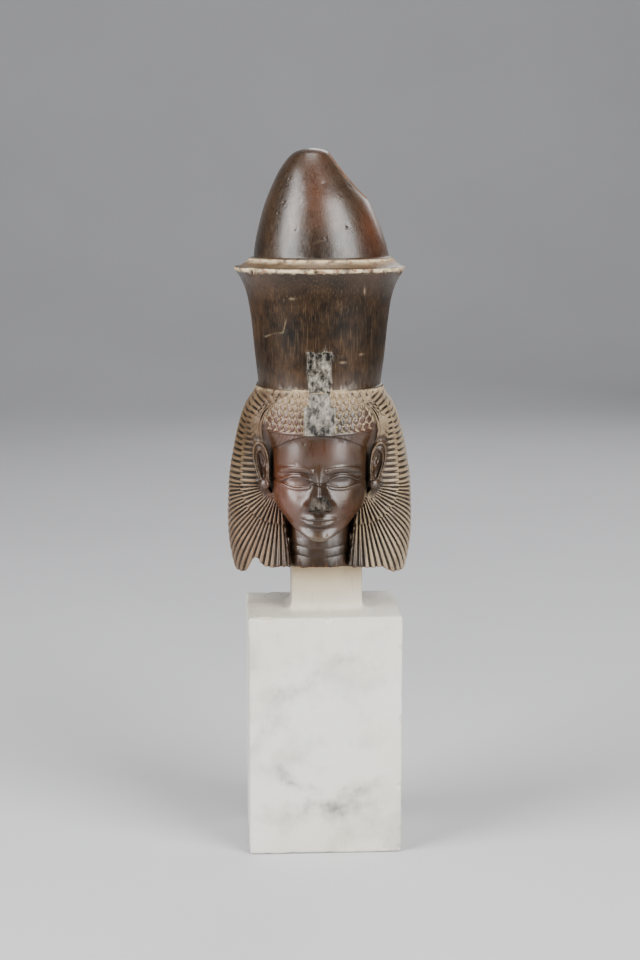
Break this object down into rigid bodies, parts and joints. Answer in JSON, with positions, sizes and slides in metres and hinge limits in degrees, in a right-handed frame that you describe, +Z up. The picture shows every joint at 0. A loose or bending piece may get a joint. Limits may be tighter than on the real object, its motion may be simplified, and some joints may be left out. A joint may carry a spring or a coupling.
{
  "type": "egyptian stone head",
  "caption": "Small carved dark stone head of a queen in a vulture headdress and tall crown, broken at the neck, on a white marble plinth with a stem.",
  "frame": {"origin": "centre of the plinth's underside, which rests on the floor", "axes": "+Z up, the face looks along -Y, +X is towards the head's own left ear"},
  "size_m": [0.0619, 0.0545, 0.234],
  "materials": {
    "dark_stone": "polished dark brown stone with pale wear in the carved lines",
    "white_marble": "honed white marble with soft grey veins"
  },
  "bodies": {
    "root": {"stone_head": "dark_stone", "marble_mount": "white_marble"}
  },
  "joints": []
}
